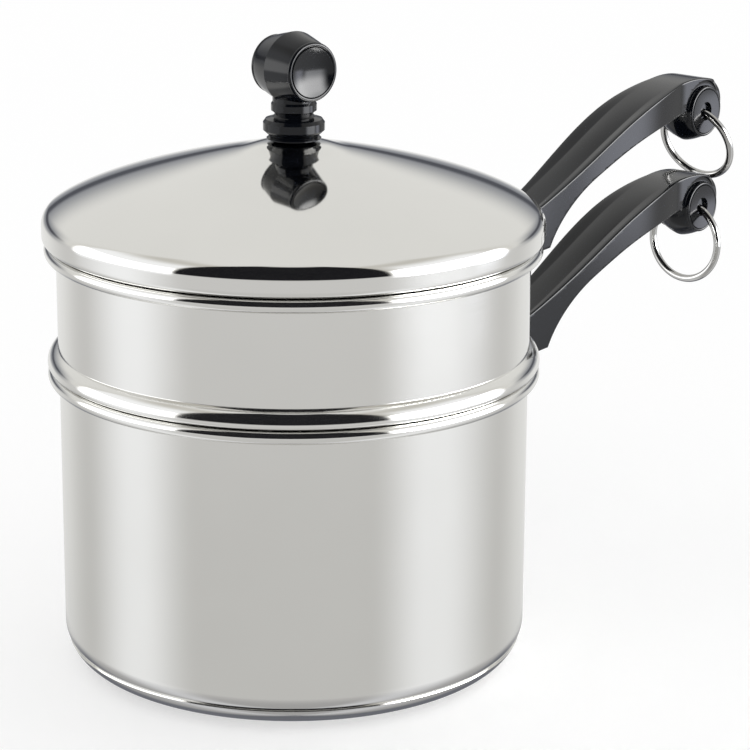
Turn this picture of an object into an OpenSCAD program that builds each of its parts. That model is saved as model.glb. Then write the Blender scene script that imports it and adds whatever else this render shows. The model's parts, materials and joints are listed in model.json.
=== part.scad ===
// Double boiler: a saucepan, an insert that sits on its rim, and a lid. Drawn stainless steel with
// black moulded handles and knob, and a free steel hanging ring in the eye of each handle.
// Origin: centre of the base, on the surface it stands on. +Z up, the handles point along +X.

/* [Saucepan] */
// Outer radius of the saucepan wall
pan_r = 80; // [79:0.5:82]
// Thickness of the saucepan sheet
pan_t = 0.8; // [0.6:0.1:1]
// Height of the top of the saucepan's rolled rim
pan_rim_z = 104.5; // [100:0.5:115]
// Outer radius of the rolled rim's section
pan_curl_r = 2.35; // [2.1:0.05:2.6]
// Height of the underside of the saucepan's bottom, above the surface
pan_floor_z = 4.8; // [4.4:0.1:5.2]
// Radius of the corner between wall and bottom
pan_corner_r = 8.6; // [8:0.2:10]

/* [Base] */
// Thickness of the base cap's sheet
cap_t = 0.8; // [0.6:0.1:0.9]
// Height of the base cap's upper edge
cap_h = 7.2; // [6.8:0.1:7.6]
// Distance from the pan's outer wall in to the edge of the flat face that it stands on
foot_inset = 12.2; // [11:0.2:16]

/* [Insert] */
// How far the insert's upper wall lies outside the saucepan's wall
insert_step = 0.3; // [0:0.1:0.6]
// Thickness of the insert's sheet
insert_t = 0.7; // [0.6:0.1:0.8]
// Height from the saucepan's rim to the top of the insert's rim
insert_rise = 42.95; // [40:0.05:50]
// Depth of the insert below the saucepan's rim
insert_drop = 58; // [40:1:64]
// Radial clearance of the insert inside the saucepan
insert_clear = 1.6; // [1:0.1:2.4]
// How far the shoulder stands out from the insert's wall
shoulder_out = 3.6; // [3.4:0.1:4]
// Outer radius of the insert's rolled rim section
insert_curl_r = 2.375; // [2.1:0.025:2.6]
// Gap under the shoulder and under the lid, where they rest on a rolled rim
seat_gap = 0.35; // [0.3:0.05:0.5]

/* [Lid] */
// How far the lid's edge reaches beyond the insert's wall
lid_overhang = 4.7; // [4.2:0.1:5.4]
// Thickness of the lid sheet
lid_t = 0.7; // [0.6:0.1:0.9]
// Height of the lid's seat for the knob above its lower edge
lid_rise = 32.9; // [30:0.1:38]
// Radius of the flat seat under the knob
knob_seat_r = 9.6; // [9:0.2:11]
// Radius of the roll at the lid's edge
lid_roll_r = 6; // [5:0.5:7]
// Turn of the lid, seen from above
lid_turn = -11; // [-45:1:45]

/* [Knob] */
// Height of the knob barrel's axis above the knob's seat
knob_axis_h = 24.65; // [24:0.05:28]
// Radius of the barrel at its middle
knob_belt_r = 12.3; // [11.5:0.1:13]
// Radius of the barrel's round end faces
knob_face_r = 10; // [9:0.1:10.5]
// Length of the barrel
knob_len = 21.8; // [20:0.2:24]
// Radius of the stem's wide collar
knob_collar_r = 10.4; // [9.6:0.1:11]

/* [Handles] */
// Width of a handle where it is widest
handle_w = 21.4; // [20:0.2:22.4]
// Width of a handle's root
root_w = 14.6; // [14:0.2:16]
// Distance of the eye's centre from the insert's wall
eye_reach = 150.7; // [146:0.1:160]
// Height of the eye's centre above the root's axis
eye_rise = 32.2; // [28:0.2:36]
// Height of the insert handle's root axis above the saucepan's rim
insert_root_rise = 22.5; // [21.5:0.5:24]
// Distance from the insert handle's root axis down to the saucepan handle's
handle_drop = 38.6; // [38:0.2:42]
// Radius of the eye's barrel at its middle
eye_belt_r = 12.4; // [12:0.1:13]
// Radius of the barrel's end faces
eye_face_r = 10; // [9.4:0.1:10.4]
// Length of the eye's barrel
eye_len = 16; // [15:0.5:17]
// Diameter of the hole through the eye
eye_hole = 7.4; // [7:0.1:8.4]

/* [Hanging rings] */
// Diameter of the ring's wire
wire_d = 2.9; // [2.4:0.1:3]
// Radius of the ring along the middle of its wire
ring_r = 15.6; // [15.2:0.1:17]
// Lean of the insert's ring, which rests against the saucepan's handle
ring_lean = 22; // [22:1:40]

/* [Brackets and screws] */
// Thickness of the bracket's sheet
bracket_t = 1.2; // [1:0.1:1.4]
// Width of the saddle that is spot welded to the wall
saddle_w = 30; // [24:1:34]
// Height of the saddle
saddle_h = 15; // [14.5:0.5:16]
// Reach of the tongue from the wall
tongue_len = 28; // [26:1:34]
// Distance of the screw from the wall
screw_reach = 20; // [16:0.5:21]
// Diameter of the screws' threads
screw_d = 4; // [3.5:0.5:4]
// Diameter of the screws' heads
head_d = 7.5; // [7:0.1:8]
// Height of the screws' heads
head_h = 2.2; // [2:0.1:2.4]
// Thickness of the washers
washer_t = 0.8; // [0.6:0.1:1]

/* [Hidden] */
$fn = 96;

steel = "silver";
black = "#2a2a2d";

// Clearance of a screw in a hole and of a part in its pocket, and the gap left at a weld
slip = 0.1;
weld_gap = 0.05;
hole_clear = 0.2;

// Points on an arc around (cx, cz), from angle a to angle b, in n steps
function arc(cx, cz, r, a, b, n = 8) =
    [for (i = [0:n]) [cx + r * cos(a + (b - a) * i / n), cz + r * sin(a + (b - a) * i / n)]];

// Points on a cubic curve without its first point
function curve(p, q, r, s, n = 8) =
    [for (i = [1:n]) let (t = i / n, u = 1 - t)
        u * u * u * p + 3 * u * u * t * q + 3 * u * t * t * r + t * t * t * s];

function unit(v) = v / norm(v);
function left_of(v) = [-v[1], v[0]];

// The sheet's other face: every point of the path moved to its left by t, mitred at corners
function other_face(path, t) =
    [for (i = [0:len(path) - 1])
        let (a = i == 0 ? unit(path[1] - path[0]) : unit(path[i] - path[i - 1]),
            b = i == len(path) - 1 ? a : unit(path[i + 1] - path[i]),
            m = unit(left_of(a) + left_of(b)))
        path[i] + m * t / (m * left_of(a))];

function reversed(list) = [for (i = [len(list) - 1:-1:0]) list[i]];

// A turned shell of sheet: the path is the section of its outer face, from the axis outwards
module turned_sheet(path, t) {
    rotate_extrude()
        polygon(concat(path, reversed(other_face(path, t))));
}

// Section of a rolled rim, outwards and down from the top of a wall whose outer radius is r
curl_end_a = -75;
function rim_curl(r, top_z, curl_r, t) =
    arc(r + curl_r - t, top_z - curl_r, curl_r - t, 180, curl_end_a, 14);

// Saucepan

pan_corner_x = pan_r - pan_corner_r;
pan_corner_z = pan_floor_z + pan_corner_r;
pan_path = concat([[0, pan_floor_z]], arc(pan_corner_x, pan_corner_z, pan_corner_r, -90, 0, 10),
    rim_curl(pan_r, pan_rim_z, pan_curl_r, pan_t));

module saucepan_body() {
    color(steel) turned_sheet(pan_path, pan_t);
}

// The base cap follows an arc from its foot to its upper edge, which lies just inside the pan's wall
foot_r = pan_r - foot_inset;
cap_arc_r = 11.35;
cap_arc_inset = 11.7;
cap_arc_x = pan_r - cap_arc_inset;
cap_arc_z = 12.3;
cap_start_a = -76;
cap_end_a = -asin((cap_arc_z - cap_h) / cap_arc_r);
cap_path = concat([[0, 0], [foot_r, 0]],
    arc(cap_arc_x, cap_arc_z, cap_arc_r, cap_start_a, cap_end_a, 8));

module base_cap() {
    color(steel) turned_sheet(cap_path, cap_t);
}

spreader_top = pan_floor_z - weld_gap;
spreader_foot = cap_t + weld_gap;
// The spreader's lower edge is chamfered twice, to clear the cap's curve
spreader_step = 1.2;
spreader_rise = 1.6;
spreader_r = pan_corner_x + spreader_step;

module heat_spreader() {
    color("lightgray")
        rotate_extrude()
            polygon([[0, spreader_foot], [foot_r - spreader_step, spreader_foot],
                [pan_corner_x, spreader_foot + spreader_rise],
                [spreader_r, spreader_foot + spreader_rise + spreader_step],
                [spreader_r, spreader_top], [0, spreader_top]]);
}

// Insert

insert_r = pan_r + insert_step;
insert_rim_z = pan_rim_z + insert_rise;
shoulder_z = pan_rim_z + seat_gap;
shoulder_r = insert_r + shoulder_out;
insert_low_r = pan_r - pan_t - insert_clear;
insert_floor_z = pan_rim_z - insert_drop;
insert_corner_r = 9;
// Radii of the shoulder: its folded edges, its rounded flank, and the fillet up into the wall
fold_r = 1.4;
bulge_r = 5;
fillet_r = 1.2;
bulge_x = shoulder_r - bulge_r;
bulge_z = shoulder_z + fold_r;
fillet_x = insert_r + fillet_r;
fillet_z = bulge_z + sqrt(pow(bulge_r + fillet_r, 2) - pow(fillet_x - bulge_x, 2));
bulge_end_a = atan2(fillet_z - bulge_z, fillet_x - bulge_x);

insert_path = concat([[0, insert_floor_z]],
    arc(insert_low_r - insert_corner_r, insert_floor_z + insert_corner_r, insert_corner_r, -90, 0, 10),
    arc(insert_low_r + fold_r, shoulder_z - fold_r, fold_r, 180, 90, 5),
    arc(shoulder_r - fold_r, shoulder_z + fold_r, fold_r, -90, 0, 5),
    arc(bulge_x, bulge_z, bulge_r, bulge_end_a / 8, bulge_end_a, 7),
    arc(fillet_x, fillet_z, fillet_r, 180 + bulge_end_a * 0.8, 180, 4),
    rim_curl(insert_r, insert_rim_z, insert_curl_r, insert_t));

module insert_body() {
    color(steel) turned_sheet(insert_path, insert_t);
}

// Lid

lid_r = insert_r + lid_overhang;
lid_foot_z = insert_rim_z + seat_gap;
lid_top_z = lid_foot_z + lid_rise;
// The lid's edge rolls over a large radius, then curls under with a small one
lid_curl_r = 2.3;
lid_curl_x = lid_r - lid_curl_r;
lid_curl_z = lid_foot_z + lid_curl_r;
lid_roll_x = lid_r - lid_roll_r;
lid_skirt = 5.7;
lid_roll_z = lid_foot_z + lid_skirt;
lid_roll_a = 56;
lid_shoulder = [lid_roll_x + lid_roll_r * cos(lid_roll_a), lid_roll_z + lid_roll_r * sin(lid_roll_a)];
// The dome rises to the knob's seat inside this radius
hump_r = 20;
hump_drop = 2.7;
hump_z = lid_top_z - hump_drop;
hump = [hump_r, hump_z];
hump_slope = [1, -0.21];
seat_edge = [knob_seat_r - 1, lid_top_z];
// The dome leaves the hump and meets the edge's roll along these slopes, for these shares of its run
dome_run = lid_shoulder[0] - hump_r;
dome_share = [0.42, 0.16];
roll_slope = [1, -1 / tan(lid_roll_a)];

lid_path = concat([[0, lid_top_z], seat_edge],
    curve(seat_edge, seat_edge + [3.4, -0.1], hump - 4.9 * hump_slope, hump, 6),
    curve(hump, hump + dome_share[0] * dome_run * hump_slope,
        lid_shoulder - dome_share[1] * dome_run * roll_slope, lid_shoulder, 14),
    arc(lid_roll_x, lid_roll_z, lid_roll_r, lid_roll_a * 7 / 8, 0, 7),
    arc(lid_curl_x, lid_curl_z, lid_curl_r, 0, -190, 12));

module lid_shell() {
    screw_hole = screw_d / 2 + hole_clear;
    color(steel)
        difference() {
            rotate_extrude()
                polygon(concat(reversed(other_face(lid_path, -lid_t)), lid_path));
            translate([0, 0, lid_top_z - lid_t - 1])
                cylinder(r = screw_hole, h = lid_t + 2);
        }
}

// Knob

knob_foot_z = lid_top_z + weld_gap;
knob_axis_z = knob_foot_z + knob_axis_h;
bush_r = 3.6;
bush_h = 11;
bush_recess = 0.2;
thread_top = 2;

// Half section of a barrel: a belt at the middle, tapering sides, and a raised rim round a dished face
function barrel(belt_r, face_r, len, rim, dish) =
    let (half = len / 2, b = belt_r, f = face_r)
    concat([[0, -half + dish]],
        [for (i = [1:4]) [(f - rim) * i / 4, -half + dish * (1 - i * i / 16)]],
        arc(f - rim / 2, -half + rim / 2, rim / 2, -90, 0, 4),
        [[f + 0.35 * (b - f), -half * 0.72], [f + 0.78 * (b - f), -half * 0.35], [b, -0.5],
            [b, 0.5], [f + 0.78 * (b - f), half * 0.35], [f + 0.35 * (b - f), half * 0.72]],
        arc(f - rim / 2, half - rim / 2, rim / 2, 0, 90, 4),
        [for (i = [4:-1:1]) [(f - rim) * i / 4, half - dish * (1 - i * i / 16)]],
        [[0, half - dish]]);

knob_dish = 2.2;
knob_rim = 1.2;
stem_r = 7.2;
stem_ring_r = 7.7;
stem_top = knob_axis_h - 0.6 * knob_belt_r;

// Turned stem of the knob: a flared foot, a wide collar, a neck, a narrow ring and the stem in the barrel
knob_stem = [[0, 0], [6.7, 0], [9.2, 1.0], [9.2, 1.25], [8.2, 2.0], [8.7, 2.4],
    [knob_collar_r, 4.0], [knob_collar_r, 6.6], [knob_collar_r - 0.8, 7.7], [stem_r, 8.4], [6.5, 9.2],
    [6.7, 9.9], [stem_ring_r, 10.6], [stem_ring_r, 12.8], [stem_r, 13.6], [stem_r, stem_top],
    [0, stem_top]];

module lid_knob() {
    color(black)
        difference() {
            union() {
                translate([0, 0, knob_foot_z])
                    rotate_extrude() polygon(knob_stem);
                translate([0, 0, knob_axis_z])
                    rotate([90, 0, lid_turn])
                        rotate_extrude()
                            polygon(barrel(knob_belt_r, knob_face_r, knob_len, knob_rim, knob_dish));
            }
            translate([0, 0, knob_foot_z - 1])
                cylinder(r = bush_r + weld_gap, h = 1 + bush_h + bush_recess);
        }
}

module knob_thread_insert() {
    color("goldenrod")
        translate([0, 0, knob_foot_z + bush_recess])
            difference() {
                cylinder(r = bush_r, h = bush_h - bush_recess);
                translate([0, 0, -1])
                    cylinder(r = screw_d / 2 + weld_gap, h = 1 + bush_h - bush_recess - thread_top);
            }
}

under_lid_z = lid_top_z - lid_t;
knob_screw_grip = 8;
washer_d = head_d + 1.5;

module knob_screw() {
    color("gainsboro")
        translate([0, 0, under_lid_z - washer_t - 2 * weld_gap]) {
            cylinder(d = screw_d, h = lid_t + washer_t + knob_screw_grip);
            translate([0, 0, -head_h])
                screw_head();
        }
}

// Domed head with a crossed recess, its underside at the top
recess_w = 1;
recess_len = 0.6 * head_d;
dome_r = 1.05 * head_d;

module screw_head() {
    difference() {
        intersection() {
            cylinder(d = head_d, h = head_h);
            translate([0, 0, head_d])
                sphere(r = dome_r);
        }
        for (a = [0, 90])
            rotate(a)
                translate([-recess_len / 2, -recess_w / 2, -1])
                    cube([recess_len, recess_w, 1 + head_h / 2]);
    }
}

module washer() {
    difference() {
        cylinder(d = washer_d, h = washer_t);
        translate([0, 0, -1])
            cylinder(r = screw_d / 2 + hole_clear, h = washer_t + 2);
    }
}

module knob_screw_washer() {
    color("gainsboro")
        translate([0, 0, under_lid_z - washer_t - weld_gap])
            washer();
}

// Handles. Heights in the section below are measured from the root's axis.

insert_root_z = pan_rim_z + insert_root_rise;
pan_root_z = insert_root_z - handle_drop;
wall_r = max(pan_r, insert_r);
saddle_r = wall_r + weld_gap + bracket_t;
eye_x = insert_r + eye_reach;
eye_tip_r = eye_belt_r + 0.6;
eye = [eye_x, eye_rise];
tongue_w = 11;
tongue_h = 5.8;
pocket_w = tongue_w + 2 * slip;
pocket_h = tongue_h + 2 * slip;
root_top = 4.6;
root_foot = -10;
heel = [wall_r + 52, -5.6];
neck = [wall_r + 52.4, 13.7];
back_mid = [eye_x - 29.4, eye_rise + 10.9];
top_end_a = 75;
top_end = eye + eye_tip_r * [cos(top_end_a), sin(top_end_a)];
belly = [wall_r + 78.1, 17.6];
belly_end = eye + [-8.6, 2];

// Side view of a handle, from its root over the back to the eye and along the underside
handle_outline = concat([[wall_r, root_foot], [wall_r, root_top]],
    curve([wall_r, root_top], [wall_r + 22, root_top], neck - [20.4, 9], neck, 8),
    curve(neck, neck + [27.7, 12.2], back_mid - [28.4, 6.8], back_mid, 10),
    curve(back_mid, back_mid + [13, 3.1], top_end + [-10.4, 2.6], top_end, 8),
    arc(eye[0], eye[1], eye_tip_r, top_end_a - 10, -10, 9),
    [eye + [0, -6]],
    [belly_end],
    curve(belly_end, belly_end + [-30, -4.2], belly + [24, 10.6], belly, 8),
    curve(belly, belly - [15, 6.6], heel + [3, 6.3], heel, 8));

// The eye's barrel lies in a round recess on each side of a web, under the back's edge
recess_r = 13;
recess_at = eye + [-1.8, -0.7];
web_w = 12.8;

// Plan of a handle's one half: slim at the root, widest under the palm, as wide as the barrel over the eye,
// and drawn in to the web at the tip
palm = [eye_x - 48, handle_w / 2];
root_end = [wall_r + 31.7, root_w / 2];
eye_end = [eye_x - 17, eye_len / 2];
tip_start = [eye_x + 3, eye_len / 2];
tip_end = [eye_x + 9, web_w / 2];
half_plan = concat([[0, root_w / 2], root_end],
    curve(root_end, root_end + [25, 0], palm - [33, 0], palm, 10),
    curve(palm, palm + [13, 0], eye_end + [-9, 1.4], eye_end, 8),
    [tip_start],
    curve(tip_start, tip_start + [3, 0], tip_end - [3, 0], tip_end, 4),
    [[eye_x + 2 * eye_tip_r, web_w / 2]]);
handle_plan = concat(half_plan, [for (i = [len(half_plan) - 1:-1:0]) [half_plan[i][0], -half_plan[i][1]]]);

eye_dish = 0.8;
eye_rim = 1.4;

// Level of the screw's seat inside the root, below the root's axis
seat_t = 1.5;
seat_level = -tongue_h / 2 - slip - seat_t;
counterbore_d = washer_d + 0.6;

module handle(root_z) {
    color(black)
        translate([0, 0, root_z])
            difference() {
                union() {
                    difference() {
                        intersection() {
                            translate([0, handle_w, 0])
                                rotate([90, 0, 0])
                                    linear_extrude(2 * handle_w) polygon(handle_outline);
                            translate([0, 0, 2 * root_foot])
                                linear_extrude(eye_rise + 2 * eye_belt_r - 2 * root_foot) polygon(handle_plan);
                        }
                        for (s = [-1, 1])
                            translate([recess_at[0], s * (web_w + handle_w) / 2, recess_at[1]])
                                rotate([90, 0, 0])
                                    cylinder(r = recess_r, h = handle_w, center = true);
                    }
                    translate([eye_x, 0, eye_rise])
                        rotate([90, 0, 0])
                            rotate_extrude()
                                polygon(barrel(eye_belt_r, eye_face_r, eye_len, eye_rim, eye_dish));
                }
                translate([eye_x, 0, eye_rise])
                    rotate([90, 0, 0])
                        cylinder(d = eye_hole, h = handle_w + 2, center = true);
                cylinder(r = saddle_r + slip, h = 4 * saddle_h, center = true);
                translate([0, -pocket_w / 2, -pocket_h / 2])
                    cube([wall_r + tongue_len + 1, pocket_w, pocket_h]);
                translate([wall_r + screw_reach, 0, -2 * saddle_h])
                    cylinder(r = screw_d / 2 + hole_clear, h = 2 * saddle_h);
                translate([wall_r + screw_reach, 0, seat_level - 2 * saddle_h])
                    cylinder(d = counterbore_d, h = 2 * saddle_h);
            }
}

module bracket(root_z, shell_r) {
    inner_w = tongue_w - 2 * bracket_t;
    inner_h = tongue_h - 2 * bracket_t;
    color("lightsteelblue")
        translate([0, 0, root_z])
            difference() {
                union() {
                    intersection() {
                        difference() {
                            cylinder(r = saddle_r, h = saddle_h, center = true);
                            cylinder(r = shell_r + weld_gap, h = saddle_h + 2, center = true);
                        }
                        translate([0, -saddle_w / 2, -saddle_h / 2])
                            cube([2 * wall_r, saddle_w, saddle_h]);
                    }
                    translate([saddle_r - bracket_t / 2, -tongue_w / 2, -tongue_h / 2])
                        cube([wall_r + tongue_len - saddle_r + bracket_t / 2, tongue_w, tongue_h]);
                }
                translate([saddle_r, -inner_w / 2, -inner_h / 2])
                    cube([tongue_len + 2, inner_w, inner_h]);
                translate([wall_r + screw_reach, 0, -tongue_h])
                    cylinder(r = screw_d / 2 + hole_clear, h = tongue_h);
            }
}

nut_w = 7;
nut_h = 3.2;

module weld_nut(root_z) {
    color("gainsboro")
        translate([wall_r + screw_reach, 0, root_z - tongue_h / 2 + bracket_t + weld_gap])
            difference() {
                cylinder(d = nut_w / cos(30), h = nut_h, $fn = 6);
                translate([0, 0, -1])
                    cylinder(r = screw_d / 2 + weld_gap, h = nut_h + 2, $fn = 96);
            }
}

module handle_screw(root_z) {
    shank = -seat_level + washer_t + weld_gap + nut_h / 2;
    color("gainsboro")
        translate([wall_r + screw_reach, 0, root_z + seat_level - washer_t - 2 * weld_gap]) {
            cylinder(d = screw_d, h = shank);
            translate([0, 0, -head_h])
                screw_head();
        }
}

module screw_washer(root_z) {
    color("gainsboro")
        translate([wall_r + screw_reach, 0, root_z + seat_level - washer_t - weld_gap])
            washer();
}

// The ring hangs in the eye with its wire just clear of the hole's lower edges
ring_play = 0.35;
ring_drop = eye_hole / 2
    + sqrt(pow(ring_r - wire_d / 2 - ring_play, 2) - pow(eye_len / 2, 2));

module hanging_ring(root_z, lean) {
    color("silver")
        translate([eye_x, 0, root_z + eye_rise])
            rotate([0, -lean, 0])
                translate([0, 0, -ring_drop])
                    rotate([0, 90, 0])
                        rotate_extrude()
                            translate([ring_r, 0]) circle(d = wire_d, $fn = 32);
}

module saucepan_bracket() { bracket(pan_root_z, pan_r); }
module saucepan_weld_nut() { weld_nut(pan_root_z); }
module saucepan_handle() { handle(pan_root_z); }
module saucepan_handle_screw() { handle_screw(pan_root_z); }
module saucepan_screw_washer() { screw_washer(pan_root_z); }
module saucepan_hanging_ring() { hanging_ring(pan_root_z, 0); }
module insert_bracket() { bracket(insert_root_z, insert_r); }
module insert_weld_nut() { weld_nut(insert_root_z); }
module insert_handle() { handle(insert_root_z); }
module insert_handle_screw() { handle_screw(insert_root_z); }
module insert_screw_washer() { screw_washer(insert_root_z); }
module insert_hanging_ring() { hanging_ring(insert_root_z, ring_lean); }

saucepan_body();
heat_spreader();
base_cap();
saucepan_bracket();
saucepan_weld_nut();
saucepan_handle();
saucepan_handle_screw();
saucepan_screw_washer();
saucepan_hanging_ring();
insert_body();
insert_bracket();
insert_weld_nut();
insert_handle();
insert_handle_screw();
insert_screw_washer();
insert_hanging_ring();
lid_shell();
lid_knob();
knob_thread_insert();
knob_screw();
knob_screw_washer();
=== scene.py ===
# Double boiler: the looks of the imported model. Metres, in the model's own frame: +Z up, and the handles
# point along +X. Outlines are drawn in millimetres, as the model's are, and scaled where meshes are made.
import json
from math import asin, atan2, copysign, cos, degrees, hypot, pi, radians, sin, sqrt

import bmesh
import bpy
from mathutils import Matrix, Vector
from mathutils.geometry import tessellate_polygon


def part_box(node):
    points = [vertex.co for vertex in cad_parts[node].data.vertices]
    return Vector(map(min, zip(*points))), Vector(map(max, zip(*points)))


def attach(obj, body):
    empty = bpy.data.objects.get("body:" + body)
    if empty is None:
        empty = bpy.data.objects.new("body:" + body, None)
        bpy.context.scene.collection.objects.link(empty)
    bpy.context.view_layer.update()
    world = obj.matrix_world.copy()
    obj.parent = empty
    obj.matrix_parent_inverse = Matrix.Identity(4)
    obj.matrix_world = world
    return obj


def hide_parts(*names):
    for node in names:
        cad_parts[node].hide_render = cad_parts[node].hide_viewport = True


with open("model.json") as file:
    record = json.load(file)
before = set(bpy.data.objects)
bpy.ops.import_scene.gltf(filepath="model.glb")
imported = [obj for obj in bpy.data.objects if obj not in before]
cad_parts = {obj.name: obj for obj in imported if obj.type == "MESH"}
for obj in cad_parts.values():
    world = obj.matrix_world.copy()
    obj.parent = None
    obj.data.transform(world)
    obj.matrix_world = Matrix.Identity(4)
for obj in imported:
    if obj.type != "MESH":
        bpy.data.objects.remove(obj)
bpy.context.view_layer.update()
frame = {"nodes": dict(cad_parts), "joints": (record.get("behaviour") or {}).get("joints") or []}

nodes = frame["nodes"]

# Saucepan body
# A pan drawn from one sheet of stainless steel and polished on a lathe: a flat bottom, a tight corner and
# a rim rolled outwards into a bead, so that no edge is left to cut a finger.

MM = 0.001
TURN_STEPS = 288


def box_mm(node):
    """Lowest and highest corners of a node of the model, in millimetres."""
    return [Vector(corner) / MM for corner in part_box(node)]


pan_low, pan_high = box_mm("saucepan_body")
PAN_T = 0.8
PAN_CURL_R = 2.35
PAN_R = pan_high.x - 2 * PAN_CURL_R + PAN_T
PAN_CORNER_R = 8.6


def arc(cx, cz, r, a, b, n=12):
    """Points on an arc around (cx, cz), from a to b degrees."""
    angles = [radians(a + (b - a) * i / n) for i in range(n + 1)]
    return [(cx + r * cos(t), cz + r * sin(t)) for t in angles]


def curve(p, q, r, s, n=16):
    """Points on a cubic curve, without its first point."""
    out = []
    for i in range(1, n + 1):
        t = i / n
        w = ((1 - t) ** 3, 3 * (1 - t) ** 2 * t, 3 * (1 - t) * t * t, t ** 3)
        out.append(tuple(sum(k * v[j] for k, v in zip(w, (p, q, r, s))) for j in (0, 1)))
    return out


def propped(path, prop=0.25):
    """The path with a point close to both ends of each long straight run, so that it shades flat."""
    out = [path[0]]
    for p, q in zip(path, path[1:]):
        run = hypot(q[0] - p[0], q[1] - p[1])
        if run > 8 * prop:
            for t in (prop / run, 1 - prop / run):
                out.append((p[0] + (q[0] - p[0]) * t, p[1] + (q[1] - p[1]) * t))
        out.append(q)
    return out


def offset(path, t):
    """The path moved to its left by t, mitred at its corners: the other face of a sheet."""
    out = []
    last = len(path) - 1
    for i, p in enumerate(path):
        a = (Vector(path[max(i, 1)]) - Vector(path[max(i, 1) - 1])).normalized()
        b = (Vector(path[min(i + 1, last)]) - Vector(path[min(i, last - 1)])).normalized()
        m = (Vector((-a.y, a.x)) + Vector((-b.y, b.x))).normalized()
        q = Vector(p) + m * (t / m.dot(Vector((-a.y, a.x))))
        out.append((q.x, q.y))
    return out


def sheet_section(path, t):
    """Closed section of a sheet of thickness t. The path is its outer face."""
    path = propped(path)
    return path + offset(path, t)[::-1]


def turned_bmesh(section, steps=TURN_STEPS):
    """A body of revolution about Z, in metres, from a closed section of (radius, height)."""
    bm = bmesh.new()
    rings = []
    for r, z in section:
        if abs(r) < 1e-6:
            rings.append([bm.verts.new((0, 0, z * MM))] * steps)
            continue
        ring = []
        for k in range(steps):
            a = 2 * pi * k / steps
            ring.append(bm.verts.new((r * MM * cos(a), r * MM * sin(a), z * MM)))
        rings.append(ring)
    for ring, following in zip(rings, rings[1:] + rings[:1]):
        for k in range(steps):
            m = (k + 1) % steps
            corners = list(dict.fromkeys((ring[k], ring[m], following[m], following[k])))
            if len(corners) > 2:
                bm.faces.new(corners)
    bmesh.ops.recalc_face_normals(bm, faces=bm.faces)
    return bm


def to_piece(name, bm, crease=35):
    """A smooth object from a bmesh, crisp only where faces meet at more than crease degrees."""
    for face in bm.faces:
        face.smooth = True
    mesh = bpy.data.meshes.new(name)
    bm.to_mesh(mesh)
    bm.free()
    mesh.set_sharp_from_angle(angle=radians(crease))
    piece = bpy.data.objects.new(name, mesh)
    bpy.context.scene.collection.objects.link(piece)
    return piece


def stand_for(piece, node, body, material):
    """The piece takes the place of a node of the model, rides on its body and wears this material."""
    piece.data.materials.append(material)
    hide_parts(node)
    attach(piece, body)


def maths(tree, operation, *values):
    """A maths node over numbers or output sockets."""
    node = tree.nodes.new("ShaderNodeMath")
    node.operation = operation
    for socket, value in zip(node.inputs, values):
        if isinstance(value, (int, float)):
            socket.default_value = value
        else:
            tree.links.new(value, socket)
    return node.outputs[0]


NOISE_ROUGHNESS = 0.55


def noise(tree, place, scale, detail=2.0):
    """Fractal noise about zero, from -0.5 to 0.5."""
    node = tree.nodes.new("ShaderNodeTexNoise")
    node.inputs["Scale"].default_value = scale
    node.inputs["Detail"].default_value = detail
    node.inputs["Roughness"].default_value = NOISE_ROUGHNESS
    tree.links.new(place, node.inputs["Vector"])
    return maths(tree, "SUBTRACT", node.outputs[0], 0.5)


def effect(name, inputs, outputs):
    """A new shader node group with number sockets, and its two end nodes."""
    tree = bpy.data.node_groups.new(name, "ShaderNodeTree")
    for label, value in inputs.items():
        socket = tree.interface.new_socket(label, in_out="INPUT", socket_type="NodeSocketFloat")
        socket.default_value = value
    for label in outputs:
        tree.interface.new_socket(label, in_out="OUTPUT", socket_type="NodeSocketFloat")
    return tree, tree.nodes.new("NodeGroupInput"), tree.nodes.new("NodeGroupOutput")


def placed(tree, group, **values):
    """An effect placed in a material with its own values."""
    node = tree.nodes.new("ShaderNodeGroup")
    node.node_tree = group
    for label, value in values.items():
        node.inputs[label].default_value = value
    return node.outputs


GRAIN_PITCH = 0.3
GRAIN_SLANT = 0.83
GRAIN_BREAKS = 2.5
AXIS_CORE = 0.5 * MM
DRIFT_SCALE = 26.0


def turned_grain_group():
    """Polishing lines that run round the axis, and a slow drift of the finish over the sheet."""
    tree, given, out = effect("turned_grain", {"Pitch": GRAIN_PITCH * MM, "Depth": 1.0}, ["Lines", "Drift"])
    place = tree.nodes.new("ShaderNodeTexCoord").outputs["Object"]
    parts = tree.nodes.new("ShaderNodeSeparateXYZ")
    tree.links.new(place, parts.inputs[0])
    x, y, z = parts.outputs
    square = maths(tree, "ADD", maths(tree, "MULTIPLY", x, x), maths(tree, "MULTIPLY", y, y))
    r = maths(tree, "MAXIMUM", maths(tree, "SQRT", square), AXIS_CORE)
    along = maths(tree, "MULTIPLY_ADD", r, GRAIN_SLANT, z)
    lines = tree.nodes.new("ShaderNodeCombineXYZ")
    for side, socket in zip((x, y), lines.inputs):
        tree.links.new(maths(tree, "MULTIPLY", maths(tree, "DIVIDE", side, r), GRAIN_BREAKS), socket)
    tree.links.new(maths(tree, "DIVIDE", along, given.outputs["Pitch"]), lines.inputs[2])
    fine = noise(tree, lines.outputs[0], 1.0, 3.0)
    tree.links.new(maths(tree, "MULTIPLY", fine, given.outputs["Depth"]), out.inputs["Lines"])
    tree.links.new(noise(tree, place, DRIFT_SCALE), out.inputs["Drift"])
    return tree


def principled(name, **plain):
    """A material with a Principled shader, whose plain values are set on the shader's own sockets."""
    material = bpy.data.materials.new(name)
    material.use_nodes = True
    shader = material.node_tree.nodes["Principled BSDF"]
    for label, value in plain.items():
        shader.inputs[label].default_value = value
    return material, material.node_tree, shader


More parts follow.
